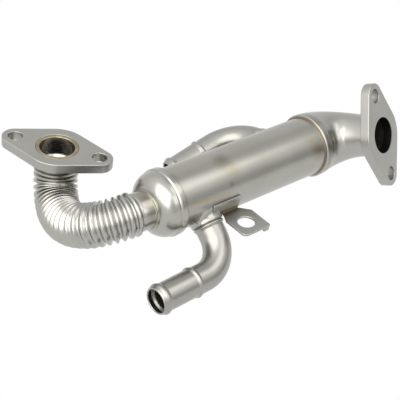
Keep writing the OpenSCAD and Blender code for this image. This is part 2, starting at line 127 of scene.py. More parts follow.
def after_bend(r, angle):
    return shift(r, 0, 0) @ turn("Y", angle) @ shift(-r, 0, 0)


def at_pipe(place, angle):
    return ON_SHELL @ outward(angle) @ shift(0, 0, place) @ turn("Y", 90)


AT_ELBOW = ON_SHELL @ shift(0, 0, SHELL_LEN) @ outward(ELBOW_LEAN)
AT_OUTLET = (AT_ELBOW @ shift(0, 0, ELBOW_LEAD) @ after_bend(ELBOW_BEND_R, ELBOW_BEND)
             @ shift(0, 0, ELBOW_TAIL) @ turn("Z", OUTLET_TURN))


def moved(points, m):
    points = np.asarray(points, float)
    return points @ m[:3, :3].T + m[:3, 3]


# Materials

def node(tree, kind, **values):
    n = tree.nodes.new(kind)
    for key, value in values.items():
        if key in n.inputs:
            n.inputs[key].default_value = value
        else:
            setattr(n, key, value)
    return n


def math_node(tree, operation, a, b=None):
    n = node(tree, "ShaderNodeMath", operation=operation)
    for i, value in enumerate((a, b)):
        if value is None:
            continue
        if isinstance(value, (int, float)):
            n.inputs[i].default_value = value
        else:
            tree.links.new(value, n.inputs[i])
    return n.outputs[0]


def map_range(tree, value, low, high, to_low=0.0, to_high=1.0):
    n = node(tree, "ShaderNodeMapRange", interpolation_type="SMOOTHSTEP")
    limits = {"From Min": low, "From Max": high, "To Min": to_low, "To Max": to_high}
    for name, number in limits.items():
        n.inputs[name].default_value = number
    tree.links.new(value, n.inputs["Value"])
    return n.outputs["Result"]


def noise(tree, vector, scale, detail=4.0, rough=0.55):
    n = node(tree, "ShaderNodeTexNoise", Scale=scale, Detail=detail, Roughness=rough)
    tree.links.new(vector, n.inputs["Vector"])
    return n.outputs["Fac"]


def mix_colour(tree, fac, a, b):
    n = node(tree, "ShaderNodeMix", data_type="RGBA")
    for name, value in (("Factor", fac), ("A", a), ("B", b)):
        if isinstance(value, (int, float, tuple)):
            n.inputs[name].default_value = value
        else:
            tree.links.new(value, n.inputs[name])
    return n.outputs["Result"]


ROUGH_SPREAD = 0.025


class Surface:
    """A satin stainless surface, with brush lines and mottling.

    Heat tints, and the painted shade in bores, are placed in the part's frame.
    """

    def __init__(self, name, colour, rough, brush=(1, 1, 1), brush_depth=0.06, mottle=0.05):
        self.mat = bpy.data.materials.new(name)
        self.mat.use_nodes = True
        self.tree = self.mat.node_tree
        self.bsdf = self.tree.nodes["Principled BSDF"]
        self.bsdf.inputs["Metallic"].default_value = 1.0
        coord = node(self.tree, "ShaderNodeTexCoord")
        self.place = coord.outputs["Object"]
        split = node(self.tree, "ShaderNodeSeparateXYZ")
        self.tree.links.new(self.place, split.inputs[0])
        self.xyz = split.outputs
        stretch = node(self.tree, "ShaderNodeMapping")
        stretch.inputs["Scale"].default_value = brush
        self.tree.links.new(self.place, stretch.inputs["Vector"])
        lines = noise(self.tree, stretch.outputs[0], 420.0, 5.0, 0.6)
        cloud = noise(self.tree, self.place, 46.0, 3.0)
        fine = noise(self.tree, self.place, 900.0, 3.0)
        dark = tuple(c * (1 - mottle) for c in colour) + (1.0,)
        light = tuple(min(1.0, c * (1 + mottle)) for c in colour) + (1.0,)
        tone = math_node(self.tree, "ADD", math_node(self.tree, "MULTIPLY", cloud, 0.65),
                         math_node(self.tree, "MULTIPLY", lines, 0.35))
        self.colour = mix_colour(self.tree, map_range(self.tree, tone, 0.3, 0.7), dark, light)
        spread = math_node(self.tree, "ADD", math_node(self.tree, "MULTIPLY", lines, 0.6),
                           math_node(self.tree, "MULTIPLY", fine, 0.4))
        roughness = map_range(self.tree, spread, 0.3, 0.7,
                              rough - ROUGH_SPREAD, rough + ROUGH_SPREAD)
        self.tree.links.new(roughness, self.bsdf.inputs["Roughness"])
        bump = node(self.tree, "ShaderNodeBump", Strength=brush_depth, Distance=0.08 * MM)
        self.tree.links.new(spread, bump.inputs["Height"])
        self.tree.links.new(bump.outputs[0], self.bsdf.inputs["Normal"])

    def tint(self, mask, colour, amount):
        share = math_node(self.tree, "MULTIPLY", mask, amount)
        self.colour = mix_colour(self.tree, share, self.colour, colour + (1.0,))

    def blotch(self, scale, low, high):
        return map_range(self.tree, noise(self.tree, self.place, scale, 1.0), low, high)

    def band(self, axis, place, half):
        """A soft band across one axis of the part, at a place in millimetres."""
        past = math_node(self.tree, "SUBTRACT", self.xyz[axis], place * MM)
        away = math_node(self.tree, "ABSOLUTE", past)
        return map_range(self.tree, away, half * MM, 0.0)

    def spot(self, point, radius, core=0.0):
        """A soft round spot about a point in millimetres, full within its core."""
        n = node(self.tree, "ShaderNodeVectorMath", operation="DISTANCE")
        n.inputs[1].default_value = [c * MM for c in point]
        self.tree.links.new(self.place, n.inputs[0])
        return map_range(self.tree, n.outputs["Value"], radius * MM, core * MM)

    def times(self, a, b):
        return math_node(self.tree, "MULTIPLY", a, b)

    def done(self):
        self.tree.links.new(self.colour, self.bsdf.inputs["Base Color"])
        return self.mat


STEEL = (0.41, 0.405, 0.375)
STRAW = (0.36, 0.31, 0.19)
BROWN = (0.21, 0.17, 0.115)
GOLD = (0.42, 0.34, 0.19)
# Painted shade: a grey that darkens the inside of the inlet bore
PAINTED_BORE_GREY = (0.26, 0.24, 0.21)
PLATE = (0.395, 0.392, 0.37)
# Painted shade: a near-black that darkens the outlet flange's bore
PAINTED_BORE_DARK = (0.035, 0.032, 0.028)


def on_shell_point(x, angle):
    a = math.radians(angle)
    return RIM_X + x, -AXIS_FRONT + SHELL_R * math.cos(a), -AXIS_DROP + SHELL_R * math.sin(a)


def shell_material():
    s = Surface("shell_satin", (0.395, 0.388, 0.355), 0.31, (1, 9, 9), 0.05)
    s.tint(s.times(s.band(0, RIM_X, 3.0), s.blotch(90, 0.3, 0.7)), BROWN, 0.6)
    s.tint(s.times(s.band(0, RIM_X + SHELL_LEN, 2.6), s.blotch(90, 0.3, 0.7)), BROWN, 0.5)
    stains = ((38, 102, 10, BROWN, 0.6), (42, 125, 9, STRAW, 0.5), (115, 149, 10, BROWN, 0.55),
              (110, 132, 8, STRAW, 0.5), (4, 196, 9, BROWN, 0.6), (37, 150, 3, BROWN, 0.5))
    for x, angle, size, colour, amount in stains:
        spot = s.spot(on_shell_point(x, angle), size)
        s.tint(s.times(spot, s.blotch(80, 0.2, 0.6)), colour, amount)
    # A gold streak along the shell
    for f in np.linspace(0, 1, 17):
        s.tint(s.spot(on_shell_point(3.5 + 30.5 * f, 157 + 8 * f), 2.4), GOLD, 0.5)
    return s.done()


def drawn_material(name, bands=(), spots=(), rough=0.24, colour=STEEL):
    s = Surface(name, colour, rough, (4, 4, 4), 0.045)
    for axis, place, half, shade, amount in bands:
        s.tint(s.times(s.band(axis, place, half), s.blotch(90, 0.25, 0.65)), shade, amount)
    for point, radius, shade, amount in spots:
        s.tint(s.times(s.spot(point, radius), s.blotch(70, 0.2, 0.7)), shade, amount)
    return s.done()


def plate_material(name, bore=None, bore_r=0.0):
    s = Surface(name, PLATE, 0.33, (2, 12, 12), 0.08)
    if bore is not None:
        # Painted shade: the bore's wall and edge darkened almost to black
        s.tint(s.spot(bore, bore_r + 0.8, bore_r + 0.45), PAINTED_BORE_DARK, 0.8)
    return s.done()


def braze_material(name, colour, rough=0.42):
    s = Surface(name, colour, rough, (6, 6, 6), 0.12, 0.22)
    s.tint(s.blotch(160, 0.45, 0.75), BROWN, 0.5)
    return s.done()


# Meshes

def arc(x, y, r, a, b, steps=16):
    t = np.radians(np.linspace(a, b, steps + 1))
    return [(x + r * math.cos(v), y + r * math.sin(v)) for v in t]


def rounded(points, radii, steps=5):
    """A closed outline with each corner rounded to its radius. A radius of 0 leaves the point."""
    out = []
    count = len(points)
    for i, (p, r) in enumerate(zip(points, radii)):
        p = np.array(p, float)
        if r <= 0:
            out.append(tuple(p))
            continue
        u = np.array(points[i - 1], float) - p
        v = np.array(points[(i + 1) % count], float) - p
        lu, lv = np.linalg.norm(u), np.linalg.norm(v)
        u, v = u / lu, v / lv
        half = math.acos(max(-1.0, min(1.0, float(u @ v)))) / 2
        if half > math.radians(88):
            out.append(tuple(p))
            continue
        reach = min(r / math.tan(half), 0.48 * lu, 0.48 * lv)
        r = reach * math.tan(half)
        centre = p + (u + v) / np.linalg.norm(u + v) * r / math.sin(half)
        a, b = p + u * reach - centre, p + v * reach - centre
        sweep = math.acos(max(-1.0, min(1.0, float(a @ b) / (r * r))))
        for k in range(steps + 1):
            f = k / steps
            w = (math.sin((1 - f) * sweep) * a + math.sin(f * sweep) * b) / math.sin(sweep)
            out.append(tuple(centre + w))
    return out


def make(name, points, faces, material, nodes=(), sharp=38):
    mesh = bpy.data.meshes.new(name)
    mesh.from_pydata((np.asarray(points, float) * MM).tolist(), [], faces)
    bm = bmesh.new()
    bm.from_mesh(mesh)
    bmesh.ops.recalc_face_normals(bm, faces=bm.faces)
    bm.to_mesh(mesh)
    bm.free()
    mesh.shade_smooth()
    mesh.set_sharp_from_angle(angle=math.radians(sharp))
    mesh.materials.append(material)
    obj = bpy.data.objects.new(name, mesh)
    bpy.context.scene.collection.objects.link(obj)
    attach(obj, "root")
    if nodes:
        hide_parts(*nodes)
    return obj


def ring_faces(rings, sides, around=True):
    faces = []
    for i in range(rings if around else rings - 1):
        k = (i + 1) % rings
        for j in range(sides):
            n = (j + 1) % sides
            faces.append((i * sides + j, i * sides + n, k * sides + n, k * sides + j))
    return faces


def lathe(name, profile, place, material, nodes=(), sides=144):
    """A closed outline of [radius, height] turned about the z axis of a place."""
    t = np.linspace(0, 2 * math.pi, sides, endpoint=False)
    rings = [np.stack([r * np.cos(t), r * np.sin(t), np.full(sides, z)], 1) for r, z in profile]
    faces = ring_faces(len(profile), sides)
    return make(name, moved(np.concatenate(rings), place), faces, material, nodes)


def tube(name, outside, inside, centre_of, material, nodes=(), sides=96):
    """A swept wall. outside and inside are lists of [run, radius].

    centre_of gives a run's point and two cross axes.
    """
    t = np.linspace(0, 2 * math.pi, sides, endpoint=False)
    rings = []
    outline = list(outside) + list(inside)[::-1]
    for s, r in outline:
        c, a, b = centre_of(s)
        rings.append(c + r * (np.cos(t)[:, None] * a + np.sin(t)[:, None] * b))
    return make(name, np.concatenate(rings), ring_faces(len(outline), sides), material, nodes)


def offset(loop, distance):
    """A closed loop moved inward by a distance, for a loop that runs anticlockwise."""
    p = np.asarray(loop, float)
    along = np.roll(p, -1, 0) - np.roll(p, 1, 0)
    along /= np.linalg.norm(along, axis=1)[:, None]
    return p + distance * np.stack([-along[:, 1], along[:, 0]], 1)


def plate(name, outline, holes, thickness, edge, hole_edge, place, material, nodes):
    """A plate below z = 0, with every edge rounded."""
    points, faces = [], []
    caps = {0: [], 1: []}
    steps = 4
    for index, loop in enumerate([outline] + holes):
        loop = np.asarray(loop, float)
        sign, e = (1, edge) if index == 0 else (-1, hole_edge)
        rings = []
        for k in range(steps + 1):
            a = math.radians(90 * k / steps)
            rings.append((e * (1 - math.sin(a)), -e * (1 - math.cos(a))))
        rings += [(d, -thickness - z) for d, z in rings[::-1]]
        base, n = len(points), len(loop)
        for d, z in rings:
            flat = offset(loop, sign * d)
            points += [(x, y, z) for x, y in flat]
        for face in ring_faces(len(rings), n, around=False):
            faces.append(tuple(base + i for i in face))
        caps[0].append(list(range(base, base + n)))
        caps[1].append(list(range(base + (len(rings) - 1) * n, base + len(rings) * n)))
    for loops in caps.values():
        index = [i for loop in loops for i in loop]
        flat = [Vector(points[i][:2]) for i in index]
        edges, start = [], 0
        for loop in loops:
            n = len(loop)
            edges += [(start + j, start + (j + 1) % n) for j in range(n)]
            start += n
        _, _, cells, _, _, _ = geometry.delaunay_2d_cdt(flat, edges, [], 2, 1e-7)
        outer = [Vector(points[i][:2]) for i in loops[0]]
        inner = [[Vector(points[i][:2]) for i in loop] for loop in loops[1:]]
        for cell in cells:
            mid = sum((flat[i] for i in cell), Vector((0, 0))) / len(cell)
            if inside(mid, outer) and not any(inside(mid, hole) for hole in inner):
                faces.append(tuple(index[i] for i in cell))
    obj = make(name, moved(points, place), faces, material, nodes, 60)
    weigh(obj)
    return obj


def inside(p, loop):
    hit = False
    for a, b in zip(loop, loop[1:] + loop[:1]):
        if (a[1] > p[1]) != (b[1] > p[1]):
            if p[0] < (b[0] - a[0]) * (p[1] - a[1]) / (b[1] - a[1]) + a[0]:
                hit = not hit
    return hit


def weigh(obj):
    """Keeps flat faces flat beside their rounded edges."""
    m = obj.modifiers.new("normals", "WEIGHTED_NORMAL")
    m.keep_sharp = True
    m.weight = 100


def fillet(name, r, z, size_r, size_z, place, material, wobble=0.0, sides=160):
    """A concave bead between a tube of radius r and a face at z, with a slightly uneven edge."""
    t = np.linspace(0, 2 * math.pi, sides, endpoint=False)
    wave = 1 + wobble * (np.sin(7 * t + 1.0) * 0.5 + np.sin(17 * t + 0.4) * 0.3
                         + np.sin(29 * t) * 0.2)
    rings = []
    for f in np.linspace(0, 1, 7):
        a = math.radians(90 * f)
        rings.append(((1 - math.sin(a)), (1 - math.cos(a))))
    rings.append((-0.25, 1.0))
    rings.append((-0.25, -0.12))
    rings.append((1.0, -0.12))
    out = []
    for fr, fz in rings:
        radius = r + size_r * fr * wave
        height = z + size_z * fz * np.where(fz > 0, wave, 1)
        out.append(np.stack([radius * np.cos(t), radius * np.sin(t), height], 1))
    points = moved(np.concatenate(out), place)
    return make(name, points, ring_faces(len(out), sides), material)


# The inlet flange, its collar and the bellows

def flange_outline():
    half = BOLT_SPACING / 2
    lean = math.degrees(math.asin((WAIST_R - END_R) / half))
    loop = []
    for x, r, a, b, n in ((half, END_R, lean - 90, 90 - lean, 26),
                          (0, WAIST_R, 90 - lean, 90 + lean, 18),
                          (-half, END_R, 90 + lean, 270 - lean, 26),
                          (0, WAIST_R, 270 - lean, 270 + lean, 18)):
        loop += arc(x, 0, r, a, b, n)
    return loop


def circle(x, y, r, n):
    return arc(x, y, r, 0, 360 * (n - 1) / n, n - 1)


def flange(name, thickness, bore_r, place, material, nodes, hole_edge):
    half = BOLT_SPACING / 2
    holes = [circle(0, 0, bore_r, 96)] + [circle(x, 0, BOLT_HOLE_R, 48) for x in (half, -half)]
    return plate(name, flange_outline(), holes, thickness, PLATE_EDGE, hole_edge, place, material,
                 nodes)


plate_a = plate_material("inlet_plate_satin")
flange("inlet_flange_plate", INLET_T, COLLAR_R + GAP, turn("Z", INLET_TURN), plate_a,
       ["inlet_flange"], 0.45)

ORIGIN = np.eye(4)


def collar_material():
    s = Surface("inlet_collar_satin", STEEL, 0.31, (4, 4, 4), 0.06)
    s.tint(s.band(2, 0.0, 2.6), GOLD, 0.7)
    s.tint(s.times(s.band(2, -0.2, 2.2), s.blotch(110, 0.35, 0.65)), BROWN, 0.6)
    # Painted shade: darker deeper down the collar's bore
    s.tint(map_range(s.tree, s.xyz[2], -1.2 * MM, -2.8 * MM), PAINTED_BORE_GREY, 0.85)
    return s.done()


lathe("inlet_collar_ring", rounded(
    [(COLLAR_R, 0), (INLET_BORE_R, 0), (INLET_BORE_R, -COLLAR_LIP), (CUFF_HOLE_R, -COLLAR_LIP),
     (CUFF_HOLE_R, -COLLAR_LEN), (COLLAR_R, -COLLAR_LEN)], [0.25, 0.9, 0.15, 0, 0.2, 0.45]),
    ORIGIN, collar_material(), ["inlet_collar"])

curve = [np.array(p, float) for p in (
    (RIM_X - DOME_DEPTH, -AXIS_FRONT, -AXIS_DROP),
    (RIM_X - DOME_DEPTH - NECK_PULL, -AXIS_FRONT, -AXIS_DROP),
    (0, 0, -COLLAR_LEN - FLANGE_PULL), (0, 0, -COLLAR_LEN))]


def curve_at(t):
    a, b, c, d = curve
    return (1 - t) ** 3 * a + 3 * (1 - t) ** 2 * t * b + 3 * (1 - t) * t * t * c + t ** 3 * d


def curve_slope(t):
    a, b, c, d = curve
    v = (1 - t) ** 2 * (b - a) + 2 * (1 - t) * t * (c - b) + t * t * (d - c)
    return v / np.linalg.norm(v)


steps_t = np.linspace(0, 1, 1201)
path = np.array([curve_at(t) for t in steps_t])
run_table = np.concatenate([[0], np.cumsum(np.linalg.norm(np.diff(path, axis=0), axis=1))])
CURVE_LEN = run_table[-1]
TWIST = np.array([1.0, 1.0, -1.0])


def bellows_centre(s):
    t = float(np.interp(min(max(s, 0), CURVE_LEN), run_table, steps_t))
    slope = curve_slope(t)
    c = curve_at(t) + (min(s, 0) + max(s - CURVE_LEN, 0)) * slope
    side = np.cross(slope, TWIST)
    side /= np.linalg.norm(side)
    return c, side, np.cross(slope, side)


def smooth(t):
    u = min(1.0, max(0.0, t))
    return u * u * (3 - 2 * u)


# Towards the upright end the crests turn flatter, from one convolution on and over a few more
FLAT_FROM, FLAT_OVER = 15, 4


def bellows_profile():
    first, last = NECK_PLAIN, CURVE_LEN - TOP_PLAIN
    pitch = (last - first) / CONVOLUTIONS
    shares = [0, 0.015, 0.04, 0.08, 0.14, 0.22, 0.32, 0.42, 0.5,
              0.58, 0.68, 0.78, 0.86, 0.92, 0.96, 0.985]
    outline = [(-NECK_ENGAGE, CUFF_R), (0, CUFF_R), (first * 0.5, CUFF_R), (first - 1.6, CUFF_R),
               (first - 0.5, CUFF_R - 0.06)]
    for i in range(CONVOLUTIONS):
        height = (CREST_R - CUFF_R) * (1 - 0.07 * rng.random())
        nudge = 0.05 * (rng.random() - 0.5)
        for u in shares:
            w = u + nudge * math.sin(math.pi * u)
            wave = math.sin(math.pi * u) ** 2
            lift = 0.4 * wave + 0.6 * smooth(wave)
            # Flatter crests on the upright end, where the photograph shows only thin dark lines
            lift += smooth((i - FLAT_FROM) / FLAT_OVER) * (smooth(wave * 1.7) - lift)
            radius = GROOVE_R + (height + CUFF_R - GROOVE_R) * lift
            outline.append((first + (i + w) * pitch, radius))
    outline += [(last, GROOVE_R), (last + 0.6, CUFF_R), (CURVE_LEN, CUFF_R),
                (CURVE_LEN + COLLAR_LEN - COLLAR_LIP - GAP, CUFF_R)]
    return outline


def bellows_material():
    s = Surface("bellows_satin", (0.42, 0.415, 0.387), 0.24, (5, 5, 5), 0.03)
    # Painted shade: the bellows' bore wall under the flange is darkened
    top = map_range(s.tree, s.xyz[2], -10.8 * MM, -9.6 * MM)
    s.tint(s.times(s.spot((0, 0, 0), 22), top), PAINTED_BORE_GREY, 1.0)
    neck_x = RIM_X - DOME_DEPTH
    neck = s.spot((neck_x, -AXIS_FRONT, -AXIS_DROP), 34)
    s.tint(s.times(s.band(0, neck_x - 3.0, 6.5), neck), (0.27, 0.24, 0.185), 0.9)
    return s.done()


wall = bellows_profile()
# Inside, a smooth bore leads down to the rolled first groove
BORE_R, ROLLED_DEPTH = 11.05, 16.2
rolled = [(-15.9, 10.5), (-15.2, 10.05), (-14.7, 10.05), (-14.3, 10.3), (-13.8, 10.9),
          (-13.2, 11.6), (-12.6, 12.2), (-11.9, 12.4), (-11.2, 12.0), (-10.9, 11.3),
          (-10.7, BORE_R), (-COLLAR_LEN, BORE_R), (-COLLAR_LIP - GAP, BORE_R)]
bore_wall = [(s, r - BELLOWS_WALL) for s, r in wall if s < CURVE_LEN + COLLAR_LEN - ROLLED_DEPTH]
bore_wall += [(CURVE_LEN + COLLAR_LEN + z, r) for z, r in rolled]
tube("bellows_tube", wall, bore_wall, bellows_centre, bellows_material(), ["bellows"])

# The inlet dome and the shell

bowl_r = RIM_R - BAND_STEP
inner_corner = BOWL_CORNER - BOWL_WALL
cuff_turn = math.degrees(math.acos((CUFF_HOLE_R - DOME_MID_R) / inner_corner))
lip_turn = math.degrees(LIP_TURN)
dome_profile = (
    [(SEAT_R, 0)] + arc(RIM_R - BAND_ROUND, -BAND_ROUND, BAND_ROUND, 90, 0, 8)
    + arc(RIM_R - 0.3, BAND_STEP - BAND_LEN + 0.1, 0.3, 0, -60, 5)
    + [(bowl_r + 0.08, -BAND_LEN - 0.02), (bowl_r - 0.14, -BAND_LEN - 0.25),
       (bowl_r - 0.1, -BAND_LEN - 0.5)]
    + arc(DOME_MID_R, -BAND_LEN, BOWL_CORNER, -4, -lip_turn, 30)
    + rounded([(LIP_R, -DOME_DEPTH + DOME_LIP), (LIP_R, -DOME_DEPTH),
               (CUFF_HOLE_R, -DOME_DEPTH), (CUFF_HOLE_R, -DOME_DEPTH + 1)], [0, 0.35, 0.35, 0])
    + arc(DOME_MID_R, -BAND_LEN, inner_corner, -cuff_turn, 0, 16)
    + [(bowl_r - BOWL_WALL, -ENGAGE - GAP), (SEAT_R, -ENGAGE - GAP)])
dome_mat = drawn_material("dome_satin", [(0, RIM_X, 2.2, BROWN, 0.5),
                                         (0, RIM_X - DOME_DEPTH, 2.5, STRAW, 0.4)])
lathe("inlet_dome_bowl", dome_profile, ON_SHELL, dome_mat, ["inlet_dome"], 192)

shell_mat = shell_material()
inner = SHELL_R - SHELL_WALL
ends = np.linspace(-ENGAGE, SHELL_LEN + ENGAGE, 33)
shell_profile = [(SHELL_R, z) for z in ends] + [(inner, z) for z in ends[::-1]]
lathe("shell_tube", shell_profile, ON_SHELL, shell_mat, ["shell"], 192)

FRONT = at_pipe(FRONT_X, FRONT_ANGLE)
REAR = at_pipe(SHELL_LEN - REAR_X, REAR_ANGLE)


def pulled_neck(name, place, material, seed):
    """The collar pulled out of the shell around a pipe, with a fillet into the shell's round."""
    draw = np.random.default_rng(seed)
    sides, spread, inner_end, round_r = 144, 3.0, 13.0, 0.45
    foot = NECK_R + spread
    t = np.linspace(0, 2 * math.pi, sides, endpoint=False)
    phases = draw.random(4) * 2 * math.pi
    ripple = sum(np.sin(n * t + p) for n, p in zip((11, 17, 23, 31), phases)) / 4

    def shell_height(r):
        return np.sqrt(SHELL_R ** 2 - (r * np.sin(t)) ** 2)

    rise = COLLAR_REACH - shell_height(np.full(sides, NECK_R))
    rings = [(np.full(sides, foot + 0.02), shell_height(foot + 0.02) - 0.4),
             (np.full(sides, foot), shell_height(foot) - 0.04)]
    for f in np.linspace(0.04, 1, 12):
        a = math.radians(90 * f)
        r = NECK_R + spread * (1 - math.sin(a)) + 0.12 * ripple * math.sin(math.pi * f)
        rings.append((r, shell_height(r) + 0.72 * rise * (1 - math.cos(a))))
    top = COLLAR_REACH
    rings.append((NECK_R + 0.05 * ripple, np.minimum(top - 0.5, rings[-1][1] + 0.14 * rise)))
    for a in (0, 30, 60, 90):
        v = math.radians(a)
        rings.append((np.full(sides, NECK_R - round_r * (1 - math.cos(v))),
                      np.full(sides, top - round_r * (1 - math.sin(v)))))
    rings.append((np.full(sides, PIPE_HOLE_R), np.full(sides, top)))
    rings.append((np.full(sides, PIPE_HOLE_R), np.full(sides, inner_end)))
    rings.append((np.full(sides, NECK_R + 0.5), np.full(sides, inner_end)))
    points = np.concatenate([np.stack([r * np.cos(t), r * np.sin(t), z], 1) for r, z in rings])
    return make(name, moved(points, place), ring_faces(len(rings), sides), material)


def up_pipe(place, height):
    """The point on a pipe's line at a height above the shell's axis."""
    return tuple(moved([[0, 0, height]], place)[0])


neck_mat = drawn_material("neck_satin", [], [(up_pipe(FRONT, 21), 16, BROWN, 0.5),
                                             (up_pipe(REAR, 21), 16, STRAW, 0.4)])
pulled_neck("front_pipe_neck", FRONT, neck_mat, 3)
pulled_neck("rear_pipe_neck", REAR, neck_mat, 4)

# The coolant pipes


def pipe(name, place, lead, bend_r, angle, spigot, material, node_name):
    rise = SEAT_BEAD + BEAD_HALF + lead
    bend_len = bend_r * math.radians(angle)
    total = rise + bend_len + spigot

    def centre(s):
        if s <= rise:
            m = shift(0, 0, s)
        elif s <= rise + bend_len:
            m = shift(0, 0, rise) @ after_bend(bend_r, math.degrees((s - rise) / bend_r))
        else:
            m = shift(0, 0, rise) @ after_bend(bend_r, angle) @ shift(0, 0, s - rise - bend_len)
        m = place @ m
        return m[:3, 3], m[:3, 0], m[:3, 1]

    def swell(s):
        """How far the wall stands out of its plain radius, at the beads and the drawn-in lip."""
        out = 0.0
        for bead, half in ((SEAT_BEAD, BEAD_REACH), (rise + bend_len + HOSE_STOP, BEAD_REACH),
                           (total - MOUTH_BEAD, MOUTH_BEAD_HALF)):
            out += BEAD_H * smooth(1 - abs(s - bead) / half)
        return out - LIP_DRAW * smooth((s - total + LIP_DRAW_LEN) / LIP_DRAW_LEN)

    start = math.sqrt((SHELL_R - SHELL_WALL) ** 2 - PIPE_R ** 2)
    bore = PIPE_R - PIPE_WALL
    lip = PIPE_WALL / 2
    outside = [(s, PIPE_R + swell(s)) for s in np.linspace(start, total - lip, 300)]
    for a in np.radians(np.linspace(15, 90, 6)):
        end = total - lip * (1 - math.sin(a))
        outside.append((end, PIPE_R - LIP_DRAW - lip * (1 - math.cos(a))))
    inside_wall = [(s, bore + swell(s)) for s in np.linspace(start, total - lip, 200)]
    for a in np.radians(np.linspace(15, 75, 5)):
        end = total - lip * (1 - math.sin(a))
        inside_wall.append((end, bore - LIP_DRAW + lip * (1 - math.cos(a))))
    return tube(name, outside, inside_wall, centre, material, [node_name])


pipe_mat = drawn_material("pipe_satin", [], [(up_pipe(FRONT, 25), 12, STRAW, 0.35),
                                             (up_pipe(REAR, 25), 12, STRAW, 0.35)],
                          0.32, (0.365, 0.36, 0.335))
pipe("front_pipe_tube", FRONT, FRONT_LEAD, FRONT_BEND_R, FRONT_BEND, FRONT_SPIGOT, pipe_mat,
     "front_coolant_pipe")
pipe("rear_pipe_tube", REAR @ turn("Z", -REAR_SWING), REAR_LEAD, REAR_BEND_R, REAR_BEND,
     REAR_SPIGOT, pipe_mat, "rear_coolant_pipe")

# The outlet elbow and flange


def elbow_centre(s):
    a = math.radians(min(ELBOW_BEND, max(0.0, (s - ELBOW_LEAD) / ELBOW_ARC * ELBOW_BEND)))
    tail = max(0.0, s - ELBOW_LEAD - ELBOW_ARC)
    c = (ELBOW_BEND_R * (1 - math.cos(a)) + tail * math.sin(a), 0,
         min(s, ELBOW_LEAD) + ELBOW_BEND_R * math.sin(a) + tail * math.cos(a))
    axes = moved([c, (c[0] + math.cos(a), 0, c[2] - math.sin(a)), (c[0], 1, c[2])], AT_ELBOW)
    return axes[0], axes[1] - axes[0], axes[2] - axes[0]


def elbow_radius(s):
    return RIM_R - (RIM_R - ELBOW_R) * smooth(s / ELBOW_TAPER)


elbow_end = ELBOW_LEN - OUTLET_T + OUTLET_SOCKET - GAP
seat_end = ENGAGE + GAP
elbow_outside = [(BAND_ROUND * (1 - math.cos(a)), RIM_R - BAND_ROUND * (1 - math.sin(a)))
                 for a in np.radians(np.linspace(0, 90, 8))]
elbow_outside += [(s, elbow_radius(s)) for s in (1.6, 2.6, 3.3)]
# A shallow groove where the rim band ends
elbow_outside += [(3.55, elbow_radius(3.5) - 0.07), (3.8, elbow_radius(3.8) - 0.09),
                  (4.1, elbow_radius(4.1) - 0.05)]
elbow_outside += [(s, elbow_radius(s)) for s in np.linspace(4.5, elbow_end, 70)]
elbow_inside = [(0.0, SEAT_R), (seat_end, SEAT_R)]
elbow_inside += [(s, elbow_radius(s) - ELBOW_WALL) for s in np.linspace(seat_end, elbow_end, 50)]
elbow_x = RIM_X + SHELL_LEN
outlet_point = tuple(moved([[0, 0, -OUTLET_T]], AT_OUTLET)[0])
# Heat tint along the elbow's rim: a narrow brown line, then a wider band that is partly heat tint
# and partly painted shade, darkening the bright band just past the rim
elbow_mat = drawn_material("elbow_satin", [(0, elbow_x + 3.6, 3.4, BROWN, 0.4),
                                           (0, elbow_x + 1.9, 0.6, BROWN, 0.7)],
                           [(outlet_point, 18, STRAW, 0.2)], 0.31)
tube("outlet_elbow_tube", elbow_outside, elbow_inside, elbow_centre, elbow_mat,
     ["outlet_elbow"], 144)
outlet_middle = moved([[0, 0, -OUTLET_T / 2]], AT_OUTLET)[0]
plate_b = plate_material("outlet_plate_satin", outlet_middle, OUTLET_BORE_R)
flange("outlet_flange_plate", OUTLET_T, OUTLET_BORE_R, AT_OUTLET, plate_b, ["outlet_flange"], 0.4)

# Braze and weld beads

rim_braze = braze_material("rim_braze", (0.22, 0.18, 0.125))
tan_braze = braze_material("seam_braze", (0.38, 0.36, 0.31))
fillet("dome_rim_braze", SHELL_R, 0.0, 0.7, 0.6, ON_SHELL, rim_braze, 0.12)
elbow_rim_frame = ON_SHELL @ shift(0, 0, SHELL_LEN) @ turn("X", 180)
fillet("elbow_rim_braze", SHELL_R, 0.0, 0.75, 0.65, elbow_rim_frame, rim_braze, 0.12)
neck_frame = ON_SHELL @ shift(0, 0, -DOME_DEPTH) @ turn("X", 180)
fillet("dome_neck_braze", CUFF_R, 0.0, 0.6, 0.5, neck_frame, tan_braze, 0.1)
for name, place in (("front_pipe_braze", FRONT), ("rear_pipe_braze", REAR)):
    fillet(name, PIPE_R, COLLAR_REACH, 1.1, 1.0, place, tan_braze, 0.1)
outlet_back = AT_OUTLET @ shift(0, 0, -OUTLET_T) @ turn("X", 180)
fillet("outlet_flange_weld", ELBOW_R, 0.0, 1.6, 1.5, outlet_back, tan_braze, 0.1)
inlet_under = shift(0, 0, -INLET_T) @ turn("X", 180)
fillet("inlet_flange_weld", COLLAR_R, 0.0, 1.0, 0.9, inlet_under, tan_braze, 0.1)

# The bracket: its own solid's mesh, copied, with softened edges


